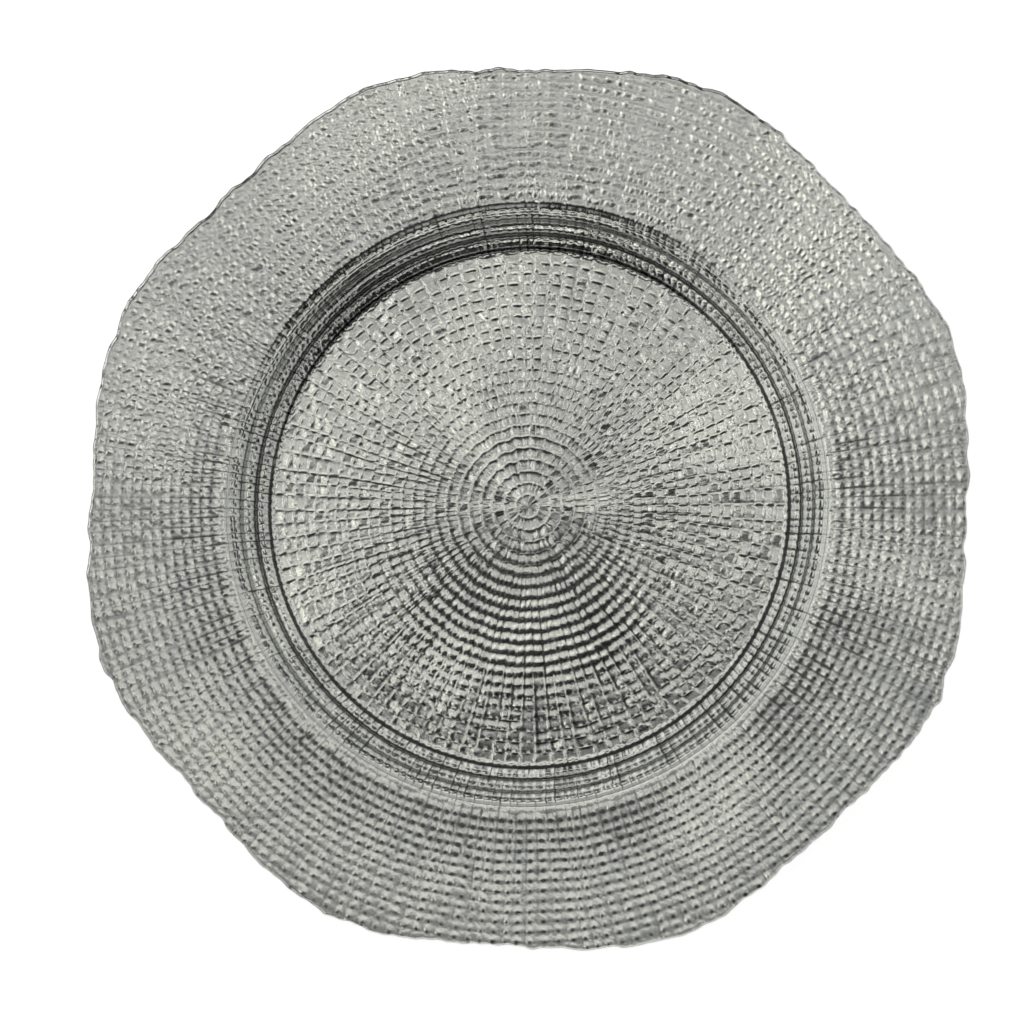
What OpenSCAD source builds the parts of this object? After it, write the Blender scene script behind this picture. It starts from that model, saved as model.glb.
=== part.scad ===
// Charger plate: one sheet of clear glass, slumped into a shallow well with a wide rim, silvered
// on its underside and sealed there with lacquer. Rings run round both faces, and the edge swells
// out and in as soft lobes. The plate stands on z = 0 with +Z up, and its axis is Z.

/* [Outline] */
// Mean radius of the rim's edge
edge_r = 167; // [158:1:178]
// How far each lobe swells out and draws in from the mean radius
lobe_swell = 2.75; // [0:0.25:4]
// Lobes round the edge
lobe_count = 8; // [5:1:12]
// Turn of the first lobe from +X, in degrees
lobe_turn = 20; // [0:1:60]

/* [Well and rim] */
// Radius of the flat floor of the well
floor_r = 96; // [86:1:102]
// Width of the wall of the well, seen from above
wall_w = 18.5; // [15:0.5:24]
// Height of the rim's inner edge above the floor of the well
well_depth = 13; // [9:0.5:16]
// Further climb of the rim, from its inner edge out to the mean edge
rim_rise = 4; // [0:0.5:7]

/* [Layers] */
// Thickness of the glass, straight down
glass_t = 4; // [3:0.25:6]
// Thickness of the silver coat
silver_t = 0.25; // [0.2:0.05:0.4]
// Thickness of the lacquer that seals the silver
lacquer_t = 0.25; // [0.2:0.05:0.4]

/* [Ring relief] */
// Width of one ring on the floor of the well
floor_ring_w = 4.2; // [3:0.1:6]
// Width of one ring on the wall of the well
wall_ring_w = 4.8; // [3:0.1:6]
// Width of one ring on the rim
rim_ring_w = 3.7; // [3:0.1:6]
// Depth of the groove between two rings, on each face
groove_depth = 0.5; // [0.2:0.05:0.7]
// Width of that groove
groove_w = 1.2; // [0.6:0.1:1.6]
// Plain lip left outside the last ring, where the edge draws in most
lip_w = 1.5; // [1:0.25:3]

/* [Hidden] */
$fn = 180;

// Straight sides that stand for one lobe of the outline
steps_per_lobe = 18;
// How far a shape runs past the outline that trims it
overrun = 1;

stack_t = glass_t + silver_t + lacquer_t;
plate_h = stack_t + well_depth + rim_rise;
rim_from_r = floor_r + wall_w;
rim_w = edge_r - rim_from_r;
reach_r = edge_r + lobe_swell + overrun;
last_ring_r = edge_r - lobe_swell - lip_w;

// A share held between 0 and 1
function held(share) = min(1, max(0, share));

// An S curve from 0 to 1 that is level at both ends
function s_curve(share) = share * share * (3 - 2 * share);

// Height of the upper face at a radius, before its grooves
function face_z(r) =
    stack_t
    + well_depth * s_curve(held((r - floor_r) / wall_w))
    + rim_rise * max(0, (r - rim_from_r) / rim_w);

// Radius of the edge in one direction
function outline_r(angle) = edge_r + lobe_swell * cos(lobe_count * (angle - lobe_turn));

// Radii at which the rings of a band end, with as many rings as fit it best
function ring_ends(from_r, to_r, ring_w) =
    let (rings = max(1, round((to_r - from_r) / ring_w)))
        [for (i = [1:rings]) from_r + (to_r - from_r) * i / rings];

// Middle of each groove, from the axis outwards
groove_radii = concat(
    ring_ends(0, floor_r, floor_ring_w),
    ring_ends(floor_r, rim_from_r, wall_ring_w),
    ring_ends(rim_from_r, last_ring_r, rim_ring_w)
);

// One V groove across the face that lies a given depth under the upper one. Its bottom is
// moved by dip, which is negative for a groove in the upper face
function groove_points(r, depth, dip) = [
    [r - groove_w / 2, face_z(r - groove_w / 2) - depth],
    [r, face_z(r) - depth + dip],
    [r + groove_w / 2, face_z(r + groove_w / 2) - depth]
];

// A ringed face that lies a given depth under the upper one, from the axis outwards
function ringed_profile(depth, dip) = concat(
    [[0, face_z(0) - depth]],
    [for (r = groove_radii) each groove_points(r, depth, dip)],
    [[reach_r, face_z(reach_r) - depth]]
);

// The same list of points from its last to its first
function turned(points) = [for (i = [len(points) - 1:-1:0]) points[i]];

// Everything inside the lobed edge, over the plate's whole height
module lobed_outline() {
    steps = lobe_count * steps_per_lobe;
    translate([0, 0, -overrun])
        linear_extrude(plate_h + 2 * overrun)
            polygon([
                for (i = [0:steps - 1])
                    let (angle = lobe_turn + 360 * i / steps)
                        outline_r(angle) * [cos(angle), sin(angle)]
            ]);
}

// A round layer between two profiles, trimmed to the lobed edge
module layer(upper, lower) {
    intersection() {
        rotate_extrude() polygon(concat(upper, turned(lower)));
        lobed_outline();
    }
}

// A coat of even thickness on the underside of what lies above it
module coat(depth, thickness) {
    layer(ringed_profile(depth, groove_depth), ringed_profile(depth + thickness, groove_depth));
}

// The slumped glass, ringed above and below
module glass_plate() {
    color("gainsboro", 0.6)
        layer(ringed_profile(0, -groove_depth), ringed_profile(glass_t, groove_depth));
}

// The silver on the underside of the glass
module silver_coat() {
    color("silver") coat(glass_t, silver_t);
}

// The lacquer over the silver, whose flat middle is the foot
module backing_lacquer() {
    color("dimgray") coat(glass_t + silver_t, lacquer_t);
}

glass_plate();
silver_coat();
backing_lacquer();
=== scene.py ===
"""Charger plate: woven-relief glass, silvered underneath, on a pale floor under soft studio light."""
import functools
import math

import bpy
import numpy as np
from mathutils import Matrix, Vector


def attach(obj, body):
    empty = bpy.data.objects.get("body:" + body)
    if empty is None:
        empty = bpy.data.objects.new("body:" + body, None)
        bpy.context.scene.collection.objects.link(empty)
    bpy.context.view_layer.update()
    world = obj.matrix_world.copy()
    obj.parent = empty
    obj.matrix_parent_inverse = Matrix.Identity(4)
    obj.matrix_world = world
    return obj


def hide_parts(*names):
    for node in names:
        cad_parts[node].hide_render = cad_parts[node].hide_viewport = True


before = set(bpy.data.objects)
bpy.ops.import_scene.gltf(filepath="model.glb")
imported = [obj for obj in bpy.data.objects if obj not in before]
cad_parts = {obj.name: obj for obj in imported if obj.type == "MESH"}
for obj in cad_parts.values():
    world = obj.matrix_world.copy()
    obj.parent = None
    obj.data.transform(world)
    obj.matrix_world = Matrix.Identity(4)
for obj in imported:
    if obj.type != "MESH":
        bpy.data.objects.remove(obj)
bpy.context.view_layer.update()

MM = 0.001
TURN = 2 * math.pi

# Sizes of the plate, in millimetres, as in the solids
EDGE_R = 167.0
LOBE_SWELL = 2.75
LOBES = 8
LOBE_TURN = math.radians(20)
FLOOR_R = 96.0
WALL_W = 18.5
WELL_DEPTH = 13.0
RIM_RISE = 4.0
GLASS_T = 4.0
COAT_T = 0.25
STACK_T = GLASS_T + 2 * COAT_T
RIM_FROM_R = FLOOR_R + WALL_W

# Rings of the weave in each band, and their width on the rim
FLOOR_RINGS = 23
WALL_RINGS = 4
RIM_RINGS = 15
RIM_RING_W = 3.7
# How much wider the floor's rings are near the axis, and narrower near the wall
CROWDING = 0.07

# Radial rods of the weave on the innermost rings, the next ones, the rest of the floor, and beyond it
RODS_CENTRE = 27
RODS_INNER = 53
RODS_FLOOR = 106
RODS_OUTER = 212
# Numbers of the rings at which the first two of those bands end
CENTRE_RINGS = 3
INNER_RINGS = 6

# How far the rods stand off their even places, and those that split the floor's, in shares of a pitch
ROD_SCATTER = 0.07
SPLIT_SCATTER = 0.05
# How far rings wander in millimetres and rods in shares of a pitch, and how much less near the axis, inside
# a radius, and on the wall
RING_WANDER = 0.14
ROD_WANDER = 0.05
CALM_R = 12
WALL_CALM = 0.5

# How the hand-cut edge departs from the even lobes: a trim, a drift to one side, three slow waves, ripples
# and nicks
EDGE_TRIM = 1.5
EDGE_DRIFT = 0.9
DRIFT_TOWARD = math.radians(-37)
EDGE_THIRD = 0.5
THIRD_TOWARD = math.radians(57)
EDGE_RIPPLE = 0.33
EDGE_NICK = 0.13

# How much the wall levels off at its ridges and steepens between them, from 0 for an even slope up to 1
STEPPING = 0.75
# The wall's own looks come in over one width from a lead before its foot, and fade out over another width
# that ends a gap before its top
FOOT_LEAD = 2
FOOT_SOFT = 4
TOP_SOFT = 3
TOP_GAP = 1
# How much lower the hidden plain faces lie under the wall, clear of its steps
WALL_SAG = 0.25

SEED = 11
rng = np.random.default_rng(SEED)


def rise(r, start, width):
    """0 up to a start, 1 from a width beyond it, and a straight climb between."""
    return np.clip((r - start) / width, 0, 1)


def fall(r, end, width):
    """1 up to a width before an end, 0 from the end on, and a straight slope between."""
    return np.clip((end - r) / width, 0, 1)


def by_radius(r, stops):
    """A share that runs straight from stop to stop, where each stop is a radius and its share."""
    radii, shares = zip(*stops)
    return np.interp(r, radii, shares)


def bell(distance, half):
    """A soft hump, 1 high at its middle and 0.37 high at its half-width."""
    return np.exp(-((distance / half) ** 2))


def most(*shares):
    """The greatest of several shares at each point."""
    return functools.reduce(np.maximum, shares)


def ring_edges():
    """Radii between the rings, from the axis past the edge."""
    place = np.linspace(0, 1, FLOOR_RINGS + 1)
    floor = FLOOR_R * (place + CROWDING * place * (1 - place))
    wall = np.linspace(FLOOR_R, RIM_FROM_R, WALL_RINGS + 1)[1:]
    rim = RIM_FROM_R + RIM_RING_W * np.arange(1, RIM_RINGS + 1)
    return np.concatenate([floor, wall, rim])


EDGES = ring_edges()


def face_z(r):
    """Height of the upper face at a radius, before its relief."""
    share = rise(r, FLOOR_R, WALL_W)
    climb = np.maximum(0, (r - RIM_FROM_R) / (EDGE_R - RIM_FROM_R))
    return STACK_T + WELL_DEPTH * share * share * (3 - 2 * share) + RIM_RISE * climb


def on_wall(r, lead=FOOT_LEAD):
    """1 on the wall, 0 on the floor and the rim, and soft between them."""
    return rise(r, FLOOR_R - lead, FOOT_SOFT) * fall(r, RIM_FROM_R - TOP_GAP, TOP_SOFT)


def under_wall(r):
    """As on_wall, but with nothing of it on the floor."""
    return on_wall(r, lead=0)


def stepped_z(r, stepping):
    """Height of the upper face with its wall in steps, one to a ring."""
    place = np.interp(r, EDGES, np.arange(len(EDGES)))
    ring = np.clip(place.astype(int), FLOOR_RINGS, FLOOR_RINGS + WALL_RINGS - 1)
    low, high = face_z(EDGES[ring]), face_z(EDGES[ring + 1])
    u = place - ring
    steps = low + (high - low) * (u - stepping * np.sin(TURN * u) / TURN)
    return np.where((r > FLOOR_R) & (r < RIM_FROM_R), steps, face_z(r))


class Wander:
    """A smooth random function of angle and radius, about 1 high, that closes round the plate.

    It sums a number of waves. Each has from lowest to just under highest crests round the plate, and grain
    is the length in millimetres over which they change along the radius.
    """

    def __init__(self, lowest, highest, waves, grain):
        self.k = rng.integers(lowest, highest, waves)
        self.f = rng.normal(0, 1 / grain, waves)
        self.phase = rng.uniform(0, TURN, waves)

    def __call__(self, angle, r):
        total = np.zeros(np.broadcast(angle, r).shape)
        for k, f, phase in zip(self.k, self.f, self.phase):
            total += np.cos(k * angle + f * r + phase)
        return total / math.sqrt(len(self.k) / 2)


# The edge's waves don't change along the radius
UNCHANGED = 1e9

# How the hand-made weave departs from an even one
ring_wander = Wander(lowest=2, highest=40, waves=28, grain=12.0)
rod_wander = Wander(lowest=2, highest=30, waves=24, grain=14.0)
edge_wander = Wander(lowest=14, highest=70, waves=30, grain=UNCHANGED)
nick_wander = Wander(lowest=70, highest=190, waves=40, grain=UNCHANGED)
depth_wander = Wander(lowest=2, highest=60, waves=36, grain=6.0)
lumps = Wander(lowest=220, highest=520, waves=60, grain=0.6)
# Frosty patches, where the lumps stand up more and the silver gets a painted sparkle
frost_and_sparkle = Wander(lowest=1, highest=9, waves=14, grain=16.0)


def rod_edges(count):
    """Angles between the rods, each a little off its even place. The outer rods split the floor's."""
    if count == RODS_OUTER:
        whole = rod_edges_of[RODS_FLOOR]
        scatter = rng.normal(0, SPLIT_SCATTER, RODS_FLOOR) * TURN / RODS_FLOOR
        middle = (whole[:-1] + whole[1:]) / 2 + scatter
        return np.append(np.stack([whole[:-1], middle], 1).ravel(), whole[-1])
    shift = rng.normal(0, ROD_SCATTER, count + 1)
    shift[-1] = shift[0]
    return (np.arange(count + 1) + shift) * TURN / count


rod_edges_of = {}
for count in (RODS_CENTRE, RODS_INNER, RODS_FLOOR, RODS_OUTER):
    rod_edges_of[count] = rod_edges(count)


def rods_in(ring):
    """How many rods cross a ring."""
    if ring < CENTRE_RINGS:
        return RODS_CENTRE
    if ring < INNER_RINGS:
        return RODS_INNER
    return RODS_FLOOR if ring < FLOOR_RINGS else RODS_OUTER


def outline(angle):
    """Radius of the plate's edge in one direction, with its small hand-made ripples."""
    lobes = EDGE_R + LOBE_SWELL * np.cos(LOBES * (angle - LOBE_TURN))
    slow = EDGE_DRIFT * np.cos(angle - DRIFT_TOWARD) + EDGE_THIRD * np.cos(3 * (angle - THIRD_TOWARD))
    fine = EDGE_RIPPLE * edge_wander(angle, 0) + EDGE_NICK * nick_wander(angle, 0)
    return lobes - EDGE_TRIM + slow + fine


# Least and most height of a stretch of ring and of rod, as a share of the even height
RING_GAINS = (0.7, 1.25)
ROD_GAINS = (0.5, 1.3)
# Spread of how high a cell leans at its sides, as a share of its width
LEAN = 0.014
# Least and most taper of a ring's dashes between rods, by the number of rods, and of a rod's dashes between
# rings. A high taper leaves a short dash.
RING_TAPERS = {
    RODS_CENTRE: (0.5, 1.5),
    RODS_INNER: (0.6, 2.4),
    RODS_FLOOR: (0.9, 4.0),
    RODS_OUTER: (0.8, 2.0),
}
ROD_TAPERS = (0.3, 1.6)
# How far a ring's dash sits off the middle of its cell, either way
DASH_SHIFTS = (-0.4, 0.4)


def spread(low, high, shape):
    """Random numbers, evenly spread."""
    return rng.uniform(low, high, shape)


# How high each stretch of ring and of rod stands, and how each cell between them leans
ring_gain = {count: spread(*RING_GAINS, (len(EDGES) + 1, count)) for count in rod_edges_of}
rod_gain = {count: spread(*ROD_GAINS, (len(EDGES) + 1, count + 1)) for count in rod_edges_of}
lean_out = {count: rng.normal(0, LEAN, (len(EDGES) + 1, count)) for count in rod_edges_of}
lean_round = {count: rng.normal(0, LEAN, (len(EDGES) + 1, count)) for count in rod_edges_of}
# How short each dash of ring and of rod is, and how far a ring's dash sits off the middle of its cell
ring_taper = {count: spread(*RING_TAPERS[count], (len(EDGES) + 1, count)) for count in rod_edges_of}
rod_taper = {count: spread(*ROD_TAPERS, (len(EDGES) + 1, count + 1)) for count in rod_edges_of}
dash_shift = {count: spread(*DASH_SHIFTS, (len(EDGES) + 1, count)) for count in rod_edges_of}

# How dark the painted shade along the seams is on the whole, how many times as much that varies as the
# rods' heights do, and the darkest
SEAM_MIDDLE = 0.9
SEAM_CONTRAST = 2.5
SEAM_MOST = 2


def long_gain(count):
    """How dark the painted shade along each seam is, much the same over three rings on end."""
    gain = rod_gain[count]
    smooth = (gain + np.roll(gain, 1, 0) + np.roll(gain, 2, 0)) / 3
    return np.clip(SEAM_MIDDLE + SEAM_CONTRAST * (smooth - SEAM_MIDDLE), 0, SEAM_MOST)


seam_gain = {count: long_gain(count) for count in rod_edges_of}

# Direction in which the rings turn into bold beads, how far round that spreads and how far out it goes
BOLD_TOWARD = math.radians(268)
BOLD_SPREAD = math.radians(72)
BOLD_BY_R = ((10, 0), (35, 1), (62, 1), (78, 0.55), (FLOOR_R - 14, 0.5), (FLOOR_R - 2, 0))


def swell_of_rings(angle, r):
    """How far the rings turn into bold beads, from 0 to 1: most on the front half of the floor."""
    off_middle = np.angle(np.exp(1j * (angle - BOLD_TOWARD)))
    return bell(off_middle, BOLD_SPREAD) * by_radius(r, BOLD_BY_R)


def bead_wave(u, fall_share):
    """A wave from 0 to 1 that rises gently outward and falls over the last share of its length."""
    u = np.mod(u, 1)
    rising = 0.5 - 0.5 * np.cos(math.pi * u / (1 - fall_share))
    falling = 0.5 + 0.5 * np.cos(math.pi * (u - 1 + fall_share) / fall_share)
    return np.where(u < 1 - fall_share, rising, falling)


# Pitch of the ridges along the floor's rings
RING_PITCH = 4.1
# How much the depth of the weave wanders
DEPTH_SWING = 0.2
# Radius of the core, the part about the axis where the rings run on across the rods, and its soft edge
CORE_R = 40.0
CORE_SOFT = 15
# Width before the rim over which its own relief comes in
RIM_SOFT = 2.5
# Radius from which the pitch of the rods is true, so that it never gets to nothing
AXIS_R = 1
# How much the painted shade along the seams and the painted light of the plate's left and right show, by
# radius
SIDES_BY_R = ((22, 0), (45, 1), (RIM_FROM_R, 0.7), (RIM_FROM_R + 30, 0.2))


class Spots:
    """Where the points of one row lie in the weave, and in which of its parts, each from 0 to 1.

    ring and u are the ring's number and the place across it, from 0 inside to 1 outside. count is how many
    rods cross it, rod is the rod's number and v is the place from it to the next one, from 0 to 1.
    """

    def __init__(self, ring, u, count, rod, v, angle, r):
        self.ring, self.u = ring, u
        self.count, self.rod, self.v = count, rod, v
        self.angle, self.r = angle, r
        self.pitch = TURN * np.maximum(r, AXIS_R) / count
        self.from_ring = np.minimum(u, 1 - u) * RING_PITCH
        self.from_rod = np.minimum(v, 1 - v) * self.pitch
        self.gain = ring_gain[count][ring, rod]
        self.lively = 1 + DEPTH_SWING * depth_wander(angle, r)
        self.bold = swell_of_rings(angle, r)
        self.steep = on_wall(r)
        self.core = fall(r, CORE_R, CORE_SOFT)
        self.rim = rise(r, RIM_FROM_R - RIM_SOFT, RIM_SOFT)
        self.sides = np.cos(angle) ** 2 * by_radius(r, SIDES_BY_R)


# How far the dashes of a ring run on across the rods: where the weave is bold, on the wall, in the core and
# about the wall's upper end, which has a half-width
BOLD_RUN = 0.9
WALL_RUN = 0.45
CORE_RUN = 0.85
BEND_RUN = 0.9
BEND_HALF = 2.5
# Share of the bold part's run that is left by radius
BOLD_RUN_BY_R = ((60, 1), (68.4, 0.3))


def run_on(at):
    """How far the dashes of a ring run on across the rods, from 0 for not at all to 1 for a whole ring."""
    bold = BOLD_RUN * at.bold * by_radius(at.r, BOLD_RUN_BY_R)
    bend = BEND_RUN * bell(at.r - RIM_FROM_R, BEND_HALF)
    return most(bold, WALL_RUN * at.steep, CORE_RUN * at.core, bend)


# Height of the ridge along a ring, what bold beads and the wall add to it, and how much higher the wall's
# is at the back and lower at the front
RING_H = 0.13
BOLD_H = 0.14
WALL_RING_H = 0.34
WALL_SWING = 0.1
# Share of that ridge that is gone on the rim
RIM_RING_LOSS = 0.85
# Half-widths of the ridge on the wall and elsewhere
RING_HALF = 0.5
WALL_RING_HALF = 0.58
# Share of a ring's width over which a bold bead falls away outward, and the share by which its crest bows
# inward at the rods and outward between them
BOLD_FALL = 0.42
BOLD_BOW = 0.085
# How far the bold beads are pinched in at the rods, and the half-width of that
PINCH = 0.45
PINCH_HALF = 0.5


def ring_ridges(at):
    """Height of the ridges along the rings, which swell into beads where the weave is bold."""
    edge = at.ring + np.where(at.u < 0.5, 0, 1)
    shifted = at.v + dash_shift[at.count][edge, at.rod] * at.v * (1 - at.v)
    dash = np.sin(math.pi * np.clip(shifted, 0, 1)) ** ring_taper[at.count][edge, at.rod]
    dash = dash + (1 - dash) * run_on(at)
    wall_high = WALL_RING_H * under_wall(at.r) * (1 + WALL_SWING * np.sin(at.angle))
    high = (RING_H + BOLD_H * at.bold + wall_high) * ring_gain[at.count][edge, at.rod] * at.lively * dash
    ridge = bell(at.from_ring, RING_HALF + (WALL_RING_HALF - RING_HALF) * at.steep)
    wave = bead_wave(at.u + BOLD_BOW * at.bold * np.cos(TURN * at.v), BOLD_FALL)
    pinch = 1 - PINCH * at.bold * bell(at.from_rod, PINCH_HALF)
    return high * (ridge + at.bold * (wave - ridge)) * (1 - RIM_RING_LOSS * at.rim) * pinch


# Height and half-width of the ridge along a rod, the shares of it that are gone where the weave is bold and
# in the core, and what the wall adds
ROD_H = 0.12
ROD_HALF = 0.42
BOLD_ROD_LOSS = 0.7
CORE_ROD_LOSS = 0.3
WALL_ROD_MORE = 1.1
# Rods that are closer together than this are lower, and so are those near the axis
ROD_FULL_PITCH = 3.6
RODS_BY_R = ((12, 0.45), (42, 1))
# How far the dashes of a rod run on across the wall's rings
WALL_ROD_RUN = 0.6


def rod_ridges(at):
    """Height of the ridges along the rods."""
    side = np.where(at.v < 0.5, at.rod, at.rod + 1)
    high = ROD_H * rod_gain[at.count][at.ring, side] * (1 + WALL_ROD_MORE * at.steep)
    high = high * (1 - BOLD_ROD_LOSS * at.bold) * (1 - CORE_ROD_LOSS * at.core)
    high = high * np.minimum(1, TURN * at.r / at.count / ROD_FULL_PITCH) * by_radius(at.r, RODS_BY_R)
    bar = np.sin(math.pi * at.u) ** rod_taper[at.count][at.ring, side]
    bar = bar + (1 - bar) * WALL_ROD_RUN * at.steep
    return high * bar * bell(at.from_rod, ROD_HALF)


# Width over which a cell leans, and the half-width of the flat stretch at its rings
CELL_W = 4.2
CELL_FLAT = 0.8


def cell_lean(at):
    """Height that a cell's lean adds or takes away, which goes to nothing at its rings."""
    across = lean_out[at.count][at.ring, at.rod] * (2 * at.u - 1)
    along = lean_round[at.count][at.ring, at.rod] * (2 * at.v - 1)
    return CELL_W * (1 - bell(at.from_ring, CELL_FLAT)) * (across + along)


# Height of the soft bead in each cell of the rim, how much higher it is at the front and lower at the back,
# the share over which it falls away outward, and its taper to the sides
BEAD_H = 0.075
BEAD_SWING = 0.15
BEAD_FALL = 0.3
BEAD_TAPER = 1.6


def rim_beads(at):
    """Height of the soft beads on the rim."""
    swing = 1 + BEAD_SWING * np.cos(at.angle - BOLD_TOWARD)
    high = BEAD_H * swing * at.rim * at.gain * at.lively
    return high * bead_wave(at.u, BEAD_FALL) * np.sin(math.pi * at.v) ** BEAD_TAPER


# Height of the fine lumps between and on the ridges, their share by radius, and the radius from which they
# have it in full
LUMP_H = 0.009
LUMPS_BY_R = ((0, 0.8), (60, 1.4))
LUMPS_FROM_R = 8
# How much more the lumps stand up in frosty patches and where the weave is bold, and less on wall and rim
FROST_LUMPS = 1.6
BOLD_LUMPS = 0.4
WALL_LUMP_LOSS = 0.3
RIM_LUMP_LOSS = 0.35
# How frosty the weave is on the whole, and at most
FROST_MIDDLE = 0.5
FROST_MOST = 2


def fine_lumps(at):
    """Height of the fine lumps."""
    frosty = np.clip(FROST_MIDDLE + frost_and_sparkle(at.angle, at.r), 0, FROST_MOST) / FROST_MOST
    high = LUMP_H * by_radius(at.r, LUMPS_BY_R) * rise(at.r, 0, LUMPS_FROM_R)
    high = high * (1 + BOLD_LUMPS * at.bold + FROST_LUMPS * frosty * frosty)
    high = high * (1 - WALL_LUMP_LOSS * at.steep) * (1 - RIM_LUMP_LOSS * at.rim)
    return high * lumps(at.angle, at.r)


# Share of the relief by radius: all of it on the floor and the wall, less out on the rim
RELIEF_BY_R = ((RIM_FROM_R - 3, 1), (RIM_FROM_R, 0.8), (RIM_FROM_R + 4, 0.5), (EDGE_R - 20, 0.35))
# How sharply ridges along rings and rods run into each other where they cross
CROSSING = 3


def relief(at):
    """Height of the weave above its cells' floors, in millimetres."""
    ridges = (np.abs(ring_ridges(at)) ** CROSSING + np.abs(rod_ridges(at)) ** CROSSING) ** (1 / CROSSING)
    return by_radius(at.r, RELIEF_BY_R) * (ridges + cell_lean(at)) + rim_beads(at) + fine_lumps(at)


# Share across a ring at which its pits lie, the shares along a cell where it has two of them, and where it
# has one, and their half-width
PIT_AT = 0.88
PIT_PAIR = (0.27, 0.73)
PIT_ALONE = 0.5
PIT_HALF = 0.6
# Half-width of the valleys that join the pits round a ring
VALLEY_HALF = 0.8
# How dark the painted shade is in pits at the front, the share of that at the sides and at least, and how
# dark the painted shade in the wall's pits is
PIT_PAINTED_SHADE = 0.45
PIT_SIDES = 0.55
PIT_LEAST = 0.3
WALL_PIT_PAINTED_SHADE = 0.15
# Share of the pits' painted shade on the floor, and where the outer floor and the rim have theirs, by
# radius
FLOOR_PITS = 0.7
OUTER_FLOOR_BY_R = ((58, 0), (66, 1), (FLOOR_R - 4, 1), (FLOOR_R, 0))
RIM_PITS_BY_R = ((RIM_FROM_R, 0), (RIM_FROM_R + 2, 1), (RIM_FROM_R + 15, 1), (RIM_FROM_R + 30, 0.55))
# How dark the painted shade is in the valleys where the weave is bold and where it is plain, and the plain
# ones' share by radius
BOLD_VALLEY_PAINTED_SHADE = 0.4
PLAIN_VALLEY_PAINTED_SHADE = 0.11
PLAIN_VALLEYS_BY_R = ((8, 0), (14, 1), (38, 1), (60, 0.15))


def painted_pit_shade(at):
    """Shade painted into the silver in the pits between the beads and in the valleys between the rings."""
    from_pit = np.minimum(np.abs(at.u - PIT_AT), np.abs(at.u - PIT_AT + 1)) * RIM_RING_W
    middle = PIT_ALONE if at.count == RODS_OUTER else np.where(at.v < 0.5, *PIT_PAIR)
    pit = bell(np.hypot(from_pit, (at.v - middle) * at.pitch), PIT_HALF) * at.gain
    valley = bell(from_pit, VALLEY_HALF)
    outer_floor = by_radius(at.r, OUTER_FLOOR_BY_R)
    front = np.clip(PIT_SIDES + (1 - PIT_SIDES) * np.cos(at.angle - BOLD_TOWARD), PIT_LEAST, 1)
    painted_shade = PIT_PAINTED_SHADE * (by_radius(at.r, RIM_PITS_BY_R) + FLOOR_PITS * outer_floor) * front * pit
    painted_shade = painted_shade + BOLD_VALLEY_PAINTED_SHADE * at.bold * valley * (1 - outer_floor)
    painted_shade = painted_shade + PLAIN_VALLEY_PAINTED_SHADE * (1 - at.bold) * valley * by_radius(at.r, PLAIN_VALLEYS_BY_R)
    return painted_shade + WALL_PIT_PAINTED_SHADE * at.steep * pit


# Painted shade along the rods, the share of a cell at which that seam lies, and its half-width
SEAM_PAINTED_SHADE = 0.17
SEAM_AT = 0.12
SEAM_HALF = 0.4
# Share of that in each part: at the plate's left and right, on the wall, about the wall's upper end, on the
# rim, in the bold part and on the floor, where it comes in from a radius over a width
SIDE_SEAMS = 1.5
WALL_SEAMS = 1.7
BEND_SEAMS = 0.5
RIM_SEAMS = 0.3
BOLD_SEAMS = 1.2
FLOOR_SEAMS = 0.4
FLOOR_SEAMS_R = 30
FLOOR_SEAMS_SOFT = 15


def painted_seam_shade(at, rim):
    """Shade painted into the silver along the rods."""
    seam = bell((at.v - SEAM_AT) * at.pitch, SEAM_HALF) * seam_gain[at.count][at.ring, at.rod]
    floor_seams = FLOOR_SEAMS * (1 - at.steep) * rise(at.r, FLOOR_SEAMS_R, FLOOR_SEAMS_SOFT)
    share = most(
        SIDE_SEAMS * at.sides,
        WALL_SEAMS * at.steep,
        BEND_SEAMS * bell(at.r - RIM_FROM_R, BEND_HALF),
        RIM_SEAMS * rim,
        (BOLD_SEAMS * at.bold + floor_seams) * (1 - rim),
    )
    return SEAM_PAINTED_SHADE * share * seam


# Painted light and shade on the rim, paler above 0 and darker below: on the whole, at its back, front and
# right, and at the front of its inner part, which ends at a radius over a width
RIM_PAINTED_SHADE = -0.05
RIM_BACK_PAINTED_LIGHT = 0.13
RIM_FRONT_PAINTED_LIGHT = 0.06
RIM_RIGHT_PAINTED_SHADE = -0.03
INNER_FRONT_PAINTED_SHADE = -0.1
INNER_RIM_R = RIM_FROM_R + 32
INNER_RIM_SOFT = 25
# The same at the left and right of the floor, at the back of the wall, and about the axis inside a radius
SIDE_PAINTED_LIGHT = 0.1
WALL_BACK_PAINTED_LIGHT = 0.12
CENTRE_PAINTED_SHADE = -0.03
CENTRE_R = 32
CENTRE_SOFT = 10


def painted_light_by_part(at, rim):
    """Light and shade painted into the silver over whole parts of the plate, paler above 0 and darker below
    0.
    """
    back, front = np.maximum(np.sin(at.angle), 0), np.maximum(-np.sin(at.angle), 0)
    right = np.maximum(np.cos(at.angle), 0)
    front_painted_light = RIM_FRONT_PAINTED_LIGHT + INNER_FRONT_PAINTED_SHADE * fall(at.r, INNER_RIM_R, INNER_RIM_SOFT)
    on_rim = rim * (RIM_PAINTED_SHADE + RIM_BACK_PAINTED_LIGHT * back + front_painted_light * front + RIM_RIGHT_PAINTED_SHADE * right)
    on_sides = SIDE_PAINTED_LIGHT * at.sides * (1 - at.steep) * (1 - rim)
    on_centre = CENTRE_PAINTED_SHADE * fall(at.r, CENTRE_R, CENTRE_SOFT)
    return on_rim + on_sides + WALL_BACK_PAINTED_LIGHT * at.steep * back + on_centre


# Height from which raised relief gets no more painted highlight
PAINTED_HIGHLIGHT_TOP = 0.12
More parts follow.
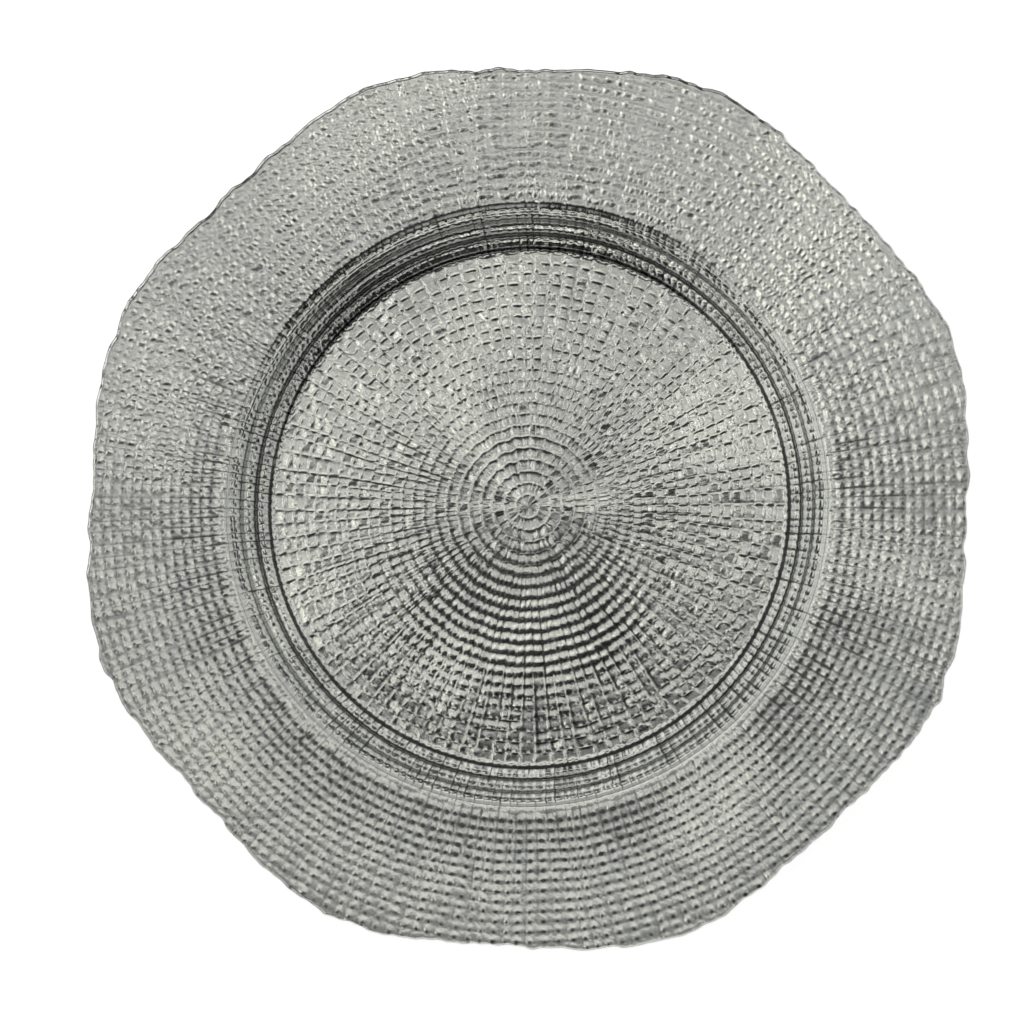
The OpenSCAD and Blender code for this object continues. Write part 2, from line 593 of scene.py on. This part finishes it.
# How bright the painted sparkle in frosty patches is, how frosty they have to be for it, and the most that
# counts
PAINTED_SPARKLE = 0.1
PAINTED_SPARKLE_FROM = 0.4
PAINTED_SPARKLE_MOST = 1.5
# Width over which the rim's painted light and shade come in
PALE_RIM_SOFT = 2


def painted_light_and_shade(at, height):
    """Painted light and shade: highlights on high relief and in frosty patches, shade in pits and along
    rods.
    """
    rim = rise(at.r, RIM_FROM_R, PALE_RIM_SOFT)
    painted_sparkle_share = np.clip(frost_and_sparkle(at.angle, at.r) - PAINTED_SPARKLE_FROM, 0, PAINTED_SPARKLE_MOST)
    pale = np.minimum(height, PAINTED_HIGHLIGHT_TOP) + painted_light_by_part(at, rim) + PAINTED_SPARKLE * painted_sparkle_share
    return pale - painted_pit_shade(at) - painted_seam_shade(at, rim)


class Row:
    """One closed row of points round the plate, in millimetres, with the silver's painted light and shade
    at each.
    """

    def __init__(self, angle, r, z, pale):
        self.angle, self.r, self.z, self.pale = np.broadcast_arrays(angle, r, z, pale)


class Face:
    """How a woven face departs from the plate's upper face.

    It lies at a level, has a share of the relief's height off the wall and another on it, and has the wall
    in steps or, with a stepping of 0, smooth. It draws in from the outline, and sags under the wall.
    """

    def __init__(self, level, share, wall_share, stepping, draw_in, sag=0.0):
        self.level, self.share, self.wall_share = level, share, wall_share
        self.stepping, self.draw_in, self.sag = stepping, draw_in, sag

    def z(self, r, height):
        share = self.share + (self.wall_share - self.share) * on_wall(r)
        middle = stepped_z(r, self.stepping) if self.stepping else face_z(r)
        return middle + self.level + share * height - self.sag * under_wall(r)


def rows_of(face, u_steps, v_steps, outer_v_steps, edge_steps):
    """Rows of a woven face from the axis to the edge."""
    rows = [Row(np.zeros(1), np.zeros(1), face_z(np.zeros(1)) + face.level, np.zeros(1))]
    between_lobes = EDGE_R - LOBE_SWELL - EDGE_TRIM
    last_whole = int(np.searchsorted(EDGES, between_lobes - RIM_RING_W)) - 1
    for ring in range(last_whole):
        steps = v_steps if ring < FLOOR_RINGS else outer_v_steps
        for u in u_steps if ring else u_steps[1:]:
            rows.append(woven_row(ring, u, face, steps))
    for step in np.linspace(0, 1, edge_steps):
        rows.append(edge_row(EDGES[last_whole], step, face, outer_v_steps))
    return rows


def placed(count, v_steps):
    """Rod number, place in the rod's cell and angle of every point of a row."""
    rod = np.repeat(np.arange(count), len(v_steps))
    v = np.tile(np.asarray(v_steps), count)
    edges = rod_edges_of[count]
    return rod, v, edges[rod] + v * (edges[rod + 1] - edges[rod])


def woven_row(ring, u, face, v_steps):
    """A row at one place across a ring."""
    count = rods_in(ring)
    rod, v, angle = placed(count, v_steps)
    even_r = EDGES[ring] + u * (EDGES[ring + 1] - EDGES[ring])
    calm = min(1.0, even_r / CALM_R) * (1 - WALL_CALM * float(on_wall(even_r)))
    angle = angle + calm * ROD_WANDER * TURN / count * rod_wander(angle, even_r)
    r = even_r + calm * RING_WANDER * ring_wander(angle, even_r)
    at = Spots(ring, u, count, rod, v, angle, even_r)
    height = relief(at)
    return Row(angle, r, face.z(r, height), painted_light_and_shade(at, height))


# Width of the plain stretch at the edge, over which the relief runs out
EDGE_PLAIN = 1.2


def edge_row(start, step, face, v_steps):
    """A row at one step from the last whole ring to the edge."""
    rod, v, angle = placed(RODS_OUTER, v_steps)
    even_r = start + step * (outline(angle) - face.draw_in - start)
    angle = angle + ROD_WANDER * TURN / RODS_OUTER * rod_wander(angle, even_r)
    r = even_r + (1 - step) * RING_WANDER * ring_wander(angle, even_r)
    ring_place = np.interp(even_r, EDGES, np.arange(len(EDGES)))
    ring = np.minimum(ring_place.astype(int), len(EDGES) - 1)
    at = Spots(ring, ring_place - ring, RODS_OUTER, rod, v, angle, even_r)
    height = relief(at) * fall(even_r, outline(angle) - face.draw_in, EDGE_PLAIN)
    return Row(angle, r, face.z(r, height), painted_light_and_shade(at, height))


# Radii between which a smooth face has its rows on floor, wall and rim, and how many it has there
PLAIN_FROM_R = 10
PLAIN_TO_R = EDGE_R - LOBE_SWELL - 3
PLAIN_FLOOR_ROWS = 8
PLAIN_WALL_ROWS = 25
PLAIN_RIM_ROWS = 5
# Painted light and shade there, which never shows
PLAIN_PALE = 0.5


def plain_rows(level, draw_in):
    """Rows of a smooth face from the edge back to the axis."""
    angle = np.arange(RODS_OUTER) * TURN / RODS_OUTER
    floor = np.linspace(PLAIN_FROM_R, FLOOR_R, PLAIN_FLOOR_ROWS)[:-1]
    wall = np.linspace(FLOOR_R, RIM_FROM_R, PLAIN_WALL_ROWS)
    rim = np.linspace(RIM_FROM_R, PLAIN_TO_R, PLAIN_RIM_ROWS)[1:]
    edge = outline(angle) - draw_in
    rows = [Row(angle, edge, face_z(edge) + level, PLAIN_PALE)]
    for r in np.concatenate([floor, wall, rim])[::-1]:
        rows.append(Row(angle, r, face_z(r) + level - WALL_SAG * under_wall(r), PLAIN_PALE))
    rows.append(Row(np.zeros(1), np.zeros(1), face_z(np.zeros(1)) + level, PLAIN_PALE))
    return rows


def rounded_edge(top, bottom_level, bulge, steps):
    """Rows of a half-round edge that leads from the last upper row to the underside's level."""
    low = face_z(top.r) + bottom_level
    rows = []
    for k in range(1, steps):
        turn = math.pi * k / steps
        z = low + (top.z - low) * (1 + math.cos(turn)) / 2
        rows.append(Row(top.angle, top.r + bulge * math.sin(turn), z, top.pale))
    return rows


def zipped(a, b, start_a, start_b):
    """Triangles between two closed rows with different numbers of points."""
    n, m = len(a.angle), len(b.angle)
    faces = []
    i = j = 0
    while i < n or j < m:
        next_a = a.angle[i + 1] if i + 1 < n else a.angle[0] + TURN
        next_b = b.angle[j + 1] if j + 1 < m else b.angle[0] + TURN
        if j >= m or (i < n and next_a <= next_b):
            faces.append((start_a + i % n, start_b + j % m, start_a + (i + 1) % n))
            i += 1
        else:
            faces.append((start_a + i % n, start_b + j % m, start_b + (j + 1) % m))
            j += 1
    return np.array(faces)


def band(a, b, start_a, start_b):
    """Faces between two closed rows, of which either may be a single point."""
    n, m = len(a.angle), len(b.angle)
    i, j = np.arange(n), np.arange(m)
    if n == m:
        return np.stack([start_a + i, start_b + i, start_b + (i + 1) % n, start_a + (i + 1) % n], 1)
    if n == 1:
        return np.stack([np.full(m, start_a), start_b + j, start_b + (j + 1) % m], 1)
    if m == 1:
        return np.stack([start_a + i, np.full(n, start_b), start_a + (i + 1) % n], 1)
    return zipped(a, b, start_a, start_b)


# Name under which a mesh carries the light and shade painted into its silver to the silver's material
PAINTED_LIGHT_NAME = "painted_light_and_shade"


def skin(name, rows):
    """A closed mesh over rows that run out over the upper face, round the edge and back underneath."""
    starts = np.cumsum([0] + [len(row.angle) for row in rows])
    bands = [band(*pair) for pair in zip(rows, rows[1:], starts, starts[1:])]
    loops = np.concatenate([faces.ravel() for faces in bands]).astype(np.int32)
    sizes = np.concatenate([np.full(len(faces), faces.shape[1]) for faces in bands])
    first = np.concatenate([[0], np.cumsum(sizes)[:-1]]).astype(np.int32)
    points = np.concatenate(
        [np.stack([row.r * np.cos(row.angle), row.r * np.sin(row.angle), row.z], 1) for row in rows]
    )
    mesh = bpy.data.meshes.new(name)
    mesh.vertices.add(len(points))
    mesh.vertices.foreach_set("co", (points * MM).ravel().astype(np.float32))
    mesh.loops.add(len(loops))
    mesh.loops.foreach_set("vertex_index", loops)
    mesh.polygons.add(len(sizes))
    mesh.polygons.foreach_set("loop_start", first)
    mesh.update(calc_edges=True)
    mesh.validate()
    mesh.shade_smooth()
    pale = np.concatenate([row.pale for row in rows])
    mesh.attributes.new(PAINTED_LIGHT_NAME, "FLOAT", "POINT").data.foreach_set("value", pale.astype(np.float32))
    piece = bpy.data.objects.new(name, mesh)
    bpy.context.scene.collection.objects.link(piece)
    return piece


# Places across a ring and along a cell at which the glass and the silver have their points, with fewer of
# them along the cells of wall and rim, and at which the lacquer has them either way
FINE_U = (0.0, 0.06, 0.12, 0.2, 0.34, 0.48, 0.6, 0.7, 0.8, 0.88, 0.94)
FINE_V = (0.0, 0.08, 0.17, 0.3, 0.43, 0.57, 0.7, 0.83, 0.92)
OUTER_V = (0.0, 0.15, 0.28, 0.39, 0.5, 0.61, 0.72, 0.85)
PLAIN_STEPS = (0.0, 0.2, 0.5, 0.8)
# Rows from the last whole ring to the edge, and the steps of the glass's round edge
FINE_EDGE_STEPS = 18
PLAIN_EDGE_STEPS = 10
ROUND_STEPS = 8

# Levels of each piece's upper side and underside from the plate's upper face. Each reaches into the next,
# so that no gap shows between them.
GLASS_TOP = -0.1
GLASS_BOTTOM = -GLASS_T - 0.3
SILVER_TOP = -GLASS_T + 0.25
SILVER_BOTTOM = -GLASS_T - 0.25
LACQUER_TOP = -GLASS_T - 0.2
LACQUER_BOTTOM = -STACK_T + 0.12
# How far each piece draws in from the outline. The glass's round edge bulges out again by as much.
GLASS_DRAW_IN = 0.7
SILVER_DRAW_IN = 0.5
LACQUER_DRAW_IN = 0.45
# Share of the relief on top of the glass, turned over, and on the underside of the lacquer
GLASS_SHARE = -0.35
LACQUER_SHARE = 0.15
# How much lower the lacquer lies under the wall, clear of the other two
LACQUER_SAG = WALL_SAG + 0.1


def glass_piece():
    """The clear glass, woven on top, with a round edge and a smooth hidden underside."""
    top = Face(GLASS_TOP, GLASS_SHARE, wall_share=1, stepping=STEPPING, draw_in=GLASS_DRAW_IN)
    rows = rows_of(top, FINE_U, FINE_V, OUTER_V, FINE_EDGE_STEPS)
    rows += rounded_edge(rows[-1], GLASS_BOTTOM, GLASS_DRAW_IN, ROUND_STEPS)
    rows += plain_rows(GLASS_BOTTOM, GLASS_DRAW_IN)
    return skin("glass_body", rows)


def silver_piece():
    """The silver, whose woven upper side shows through the glass."""
    top = Face(SILVER_TOP, share=1, wall_share=1, stepping=STEPPING, draw_in=SILVER_DRAW_IN)
    rows = rows_of(top, FINE_U, FINE_V, OUTER_V, FINE_EDGE_STEPS)
    rows += plain_rows(SILVER_BOTTOM, SILVER_DRAW_IN)
    return skin("silver_layer", rows)


def lacquer_piece():
    """The lacquer, whose underside keeps a trace of the weave."""
    bottom = Face(LACQUER_BOTTOM, LACQUER_SHARE, wall_share=0, stepping=0, draw_in=LACQUER_DRAW_IN,
                  sag=LACQUER_SAG)
    rows = plain_rows(LACQUER_TOP, LACQUER_DRAW_IN)[::-1]
    rows += rows_of(bottom, PLAIN_STEPS, PLAIN_STEPS, PLAIN_STEPS, PLAIN_EDGE_STEPS)[::-1]
    return skin("lacquer_layer", rows)


def tree(name):
    """A new material, its nodes, its links and its shader."""
    material = bpy.data.materials.new(name)
    material.use_nodes = True
    nodes = material.node_tree.nodes
    return material, nodes, material.node_tree.links, nodes["Principled BSDF"]


def noise(nodes, links, scale, detail, roughness):
    """A noise fixed to the object, with its scale in waves to a metre."""
    where = nodes.new("ShaderNodeTexCoord")
    texture = nodes.new("ShaderNodeTexNoise")
    texture.inputs["Scale"].default_value = scale
    texture.inputs["Detail"].default_value = detail
    texture.inputs["Roughness"].default_value = roughness
    links.new(where.outputs["Object"], texture.inputs["Vector"])
    return texture.outputs["Fac"]


def ramp(nodes, links, source, stops):
    """Colour that runs from stop to stop, where each stop is a position and its colour."""
    node = nodes.new("ShaderNodeValToRGB")
    elements = node.color_ramp.elements
    while len(elements) < len(stops):
        elements.new(0.5)
    for element, (position, colour) in zip(elements, stops):
        element.position = position
        element.color = (*colour, 1)
    links.new(source, node.inputs["Fac"])
    return node.outputs["Color"]


def mapped(nodes, links, source, low, high, from_low=0.0, from_high=1.0):
    """A source's range from from_low to from_high stretched to one from low to high."""
    node = nodes.new("ShaderNodeMapRange")
    node.inputs["From Min"].default_value = from_low
    node.inputs["From Max"].default_value = from_high
    node.inputs["To Min"].default_value = low
    node.inputs["To Max"].default_value = high
    links.new(source, node.inputs["Value"])
    return node.outputs["Result"]


def maths(nodes, links, operation, *values):
    """Result of an operation on outputs of other nodes and on plain numbers."""
    node = nodes.new("ShaderNodeMath")
    node.operation = operation
    for socket, value in zip(node.inputs, values):
        if isinstance(value, float):
            socket.default_value = value
        else:
            links.new(value, socket)
    return node.outputs[0]


def bumped(nodes, links, height, strength, distance):
    """Surface direction with fine bumps, whose distance is in metres."""
    node = nodes.new("ShaderNodeBump")
    node.inputs["Strength"].default_value = strength
    node.inputs["Distance"].default_value = distance
    links.new(height, node.inputs["Height"])
    return node.outputs["Normal"]


def glass_material():
    material, nodes, links, shader = tree("clear_glass")
    shader.inputs["Base Color"].default_value = (0.96, 0.98, 0.965, 1)
    shader.inputs["Transmission Weight"].default_value = 1.0
    shader.inputs["IOR"].default_value = 1.5
    grain = noise(nodes, links, scale=900, detail=3, roughness=0.6)
    links.new(mapped(nodes, links, grain, low=0.0, high=0.03), shader.inputs["Roughness"])
    links.new(bumped(nodes, links, grain, strength=0.05, distance=0.0003), shader.inputs["Normal"])
    return material


# Painted light and shade between which the silver goes from its darkest to its brightest, how far up its
# colours that takes it, and how much a cloudy noise adds
PALE_FROM = -0.2
PALE_TO = 0.2
PALE_REACH = 0.8
CLOUD_REACH = 0.25
# Colours of the silver from its darkest painted shade through its own grey to its brightest painted
# highlight
SILVER_AND_PAINTED_LIGHT_STOPS = (
    (0.15, (0.07, 0.07, 0.068)),
    (0.46, (0.66, 0.665, 0.65)),
    (0.9, (0.9, 0.895, 0.86)),
)


def silver_material():
    material, nodes, links, shader = tree("silver_coat")
    shader.inputs["Metallic"].default_value = 1.0
    # The silver's colour follows the painted light and shade that each mesh carries
    pale = nodes.new("ShaderNodeAttribute")
    pale.attribute_name = PAINTED_LIGHT_NAME
    high = mapped(nodes, links, pale.outputs["Fac"], 0.0, PALE_REACH, from_low=PALE_FROM, from_high=PALE_TO)
    cloud = noise(nodes, links, scale=180, detail=4, roughness=0.6)
    both = maths(nodes, links, "MULTIPLY_ADD", cloud, CLOUD_REACH, high)
    links.new(ramp(nodes, links, both, SILVER_AND_PAINTED_LIGHT_STOPS), shader.inputs["Base Color"])
    grain = noise(nodes, links, scale=1400, detail=3, roughness=0.65)
    links.new(mapped(nodes, links, both, low=0.06, high=0.12), shader.inputs["Roughness"])
    links.new(bumped(nodes, links, grain, strength=0.1, distance=0.0003), shader.inputs["Normal"])
    return material


# Greys of the lacquer over its cloudy noise
LACQUER_STOPS = ((0.3, (0.26, 0.265, 0.265)), (0.75, (0.36, 0.365, 0.36)))


def lacquer_material():
    material, nodes, links, shader = tree("grey_lacquer")
    cloud = noise(nodes, links, scale=60, detail=5, roughness=0.6)
    links.new(ramp(nodes, links, cloud, LACQUER_STOPS), shader.inputs["Base Color"])
    grain = noise(nodes, links, scale=2400, detail=2, roughness=0.5)
    links.new(mapped(nodes, links, grain, low=0.32, high=0.5), shader.inputs["Roughness"])
    links.new(bumped(nodes, links, grain, strength=0.2, distance=0.0002), shader.inputs["Normal"])
    shader.inputs["Coat Weight"].default_value = 0.3
    shader.inputs["Coat Roughness"].default_value = 0.25
    return material


def dressed(piece, node, material):
    """Gives a piece its material, hides the part of the solids that it stands for and hangs it under the
    root body.
    """
    piece.data.materials.append(material)
    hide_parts(node)
    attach(piece, "root")


# Reach of the floor either way from the plate, in metres, and how bright it glows
FLOOR_REACH = 6.0
FLOOR_GLOW = 0.9


def stage_floor():
    """A pale floor that glows only to the camera, straight or through glass or mirrored."""
    mesh = bpy.data.meshes.new("floor")
    corners = [(x * FLOOR_REACH, y * FLOOR_REACH, 0) for x, y in ((-1, -1), (1, -1), (1, 1), (-1, 1))]
    mesh.from_pydata(corners, [], [(0, 1, 2, 3)])
    piece = bpy.data.objects.new("floor", mesh)
    bpy.context.scene.collection.objects.link(piece)
    material, nodes, links, shader = tree("pale_floor")
    shader.inputs["Base Color"].default_value = (0.5, 0.5, 0.5, 1)
    shader.inputs["Roughness"].default_value = 0.9
    shader.inputs["Specular IOR Level"].default_value = 0.0
    shader.inputs["Emission Color"].default_value = (1, 1, 1, 1)
    ray = nodes.new("ShaderNodeLightPath").outputs
    seen = maths(nodes, links, "MAXIMUM", ray["Is Camera Ray"], ray["Is Glossy Ray"])
    seen = maths(nodes, links, "MAXIMUM", seen, ray["Is Transmission Ray"])
    links.new(mapped(nodes, links, seen, low=0.0, high=FLOOR_GLOW), shader.inputs["Emission Strength"])
    mesh.materials.append(material)


def toward(tilt, heading):
    """Direction that leans from straight up by tilt, toward a heading from +X, in degrees."""
    tilt, heading = math.radians(tilt), math.radians(heading)
    return (math.sin(tilt) * math.cos(heading), math.sin(tilt) * math.sin(heading), math.cos(tilt))


# Numbers of the sockets of a mix node that belong to colours
MIX_BELOW = 6
MIX_ABOVE = 7
MIX_RESULT = 2


def patch(nodes, links, where, below, aim, inner, outer, colour):
    """Blends a round patch of the dome, soft between two angles from its middle, over what is below."""
    dot = nodes.new("ShaderNodeVectorMath")
    dot.operation = "DOT_PRODUCT"
    links.new(where, dot.inputs[0])
    dot.inputs[1].default_value = aim
    share = nodes.new("ShaderNodeMapRange")
    share.interpolation_type = "SMOOTHSTEP"
    share.inputs["From Min"].default_value = math.cos(math.radians(outer))
    share.inputs["From Max"].default_value = math.cos(math.radians(inner))
    links.new(dot.outputs["Value"], share.inputs["Value"])
    mix = nodes.new("ShaderNodeMix")
    mix.data_type = "RGBA"
    links.new(share.outputs["Result"], mix.inputs[0])
    links.new(below, mix.inputs[MIX_BELOW])
    mix.inputs[MIX_ABOVE].default_value = (*colour, 1)
    return mix.outputs[MIX_RESULT]


# Colours of the dome by height, from the horizon at 0 to straight up at 1
DOME_STOPS = (
    (0.0, (0.46, 0.46, 0.45)),
    (0.4, (0.5, 0.5, 0.487)),
    (0.75, (0.62, 0.62, 0.6)),
    (0.9, (0.5, 0.5, 0.485)),
    (0.97, (0.27, 0.27, 0.266)),
)
# Round patches laid over it, the later ones on top: tilt and heading, the angles from the middle between
# which each is soft, and its colour. They are the left wall, three for the window behind the plate, the
# dark front and the low wall there.
DOME_PATCHES = (
    (65, 180, 22, 48, (0.68, 0.68, 0.66)),
    (25, 92, 5, 16, (0.4, 0.4, 0.385)),
    (30, 92, 8, 17, (0.48, 0.475, 0.44)),
    (20, 95, 4, 8, (0.62, 0.61, 0.545)),
    (45, 278, 38, 44, (0.006, 0.006, 0.006)),
    (76, 275, 17, 29, (0.42, 0.42, 0.41)),
)
# Tilt and heading of the small lamps on top of all that, and their soft edge and colour
LAMPS = ((20, 162), (8, 35), (17, 185))
LAMP_EDGE = (1.2, 3.6)
LAMP_COLOUR = (2.3, 2.24, 2.0)
# Scale and detail of the mottle over the dome, and its least and most brightness
MOTTLE_SCALE = 9
MOTTLE_DETAIL = 1
MOTTLE_LOW = 0.1
MOTTLE_HIGH = 1.9


def sky():
    """A room seen as a dome: grey ceiling, a wide window behind the plate, a dark front and three lamps."""
    world = bpy.data.worlds.new("dome")
    bpy.context.scene.world = world
    world.use_nodes = True
    nodes, links = world.node_tree.nodes, world.node_tree.links
    where = nodes.new("ShaderNodeTexCoord").outputs["Generated"]
    split = nodes.new("ShaderNodeSeparateXYZ")
    links.new(where, split.inputs["Vector"])
    colour = ramp(nodes, links, split.outputs["Z"], DOME_STOPS)
    for tilt, heading, inner, outer, paint in DOME_PATCHES:
        colour = patch(nodes, links, where, colour, toward(tilt, heading), inner, outer, paint)
    for tilt, heading in LAMPS:
        colour = patch(nodes, links, where, colour, toward(tilt, heading), *LAMP_EDGE, LAMP_COLOUR)
    mottle = nodes.new("ShaderNodeTexNoise")
    mottle.inputs["Scale"].default_value = MOTTLE_SCALE
    mottle.inputs["Detail"].default_value = MOTTLE_DETAIL
    links.new(where, mottle.inputs["Vector"])
    bright = mapped(nodes, links, mottle.outputs["Fac"], low=MOTTLE_LOW, high=MOTTLE_HIGH)
    shade = nodes.new("ShaderNodeVectorMath")
    shade.operation = "SCALE"
    links.new(colour, shade.inputs[0])
    links.new(bright, shade.inputs["Scale"])
    links.new(shade.outputs["Vector"], nodes["Background"].inputs["Color"])
    nodes["Background"].inputs["Strength"].default_value = 1.0


def softbox(name, place, aim, size, power, colour):
    """A rectangular lamp: its place, the point it shines at and its size in metres, its power in watts."""
    light = bpy.data.lights.new(name, "AREA")
    light.shape = "RECTANGLE"
    light.size, light.size_y = size
    light.energy = power
    light.color = colour
    lamp = bpy.data.objects.new(name, light)
    lamp.location = place
    lamp.rotation_euler = (Vector(aim) - Vector(place)).to_track_quat("-Z", "Y").to_euler()
    bpy.context.scene.collection.objects.link(lamp)


# Camera: tilt from straight up and heading, in degrees, the point it looks at, its distance from there and
# the width that it sees there, in metres, and its sensor's width in millimetres
CAMERA_TILT = 8.3
CAMERA_HEADING = -42
CAMERA_TARGET = (-0.0043, -0.0036, 0.018)
CAMERA_DISTANCE = 1.5
CAMERA_VIEW_W = 0.3788
SENSOR_W = 36


def camera():
    """The photo's camera, with the plate's +Y upward in the picture."""
    data = bpy.data.cameras.new("camera")
    view = bpy.data.objects.new("camera", data)
    bpy.context.scene.collection.objects.link(view)
    away = Vector(toward(CAMERA_TILT, CAMERA_HEADING))
    place = Vector(CAMERA_TARGET) + CAMERA_DISTANCE * away
    ahead = -away
    right = ahead.cross(Vector((0, 1, 0))).normalized()
    up = right.cross(ahead)
    view.matrix_world = Matrix.Translation(place) @ Matrix((right, up, -ahead)).transposed().to_4x4()
    data.sensor_width = SENSOR_W
    data.lens = SENSOR_W * CAMERA_DISTANCE / CAMERA_VIEW_W
    bpy.context.scene.camera = view


dressed(glass_piece(), "glass_plate", glass_material())
dressed(silver_piece(), "silver_coat", silver_material())
dressed(lacquer_piece(), "backing_lacquer", lacquer_material())
stage_floor()
sky()
softbox("key", place=(-0.5, 1.6, 2.2), aim=(0, 0, 0), size=(1.8, 1.3), power=3.5, colour=(1, 0.98, 0.93))
softbox("panel", place=(-0.15, 0.225, 1.4), aim=(-0.15, 0.225, 0), size=(1.0, 0.19), power=0.28,
        colour=(1, 0.99, 0.97))
camera()

scene = bpy.context.scene
scene.view_settings.view_transform = "Standard"
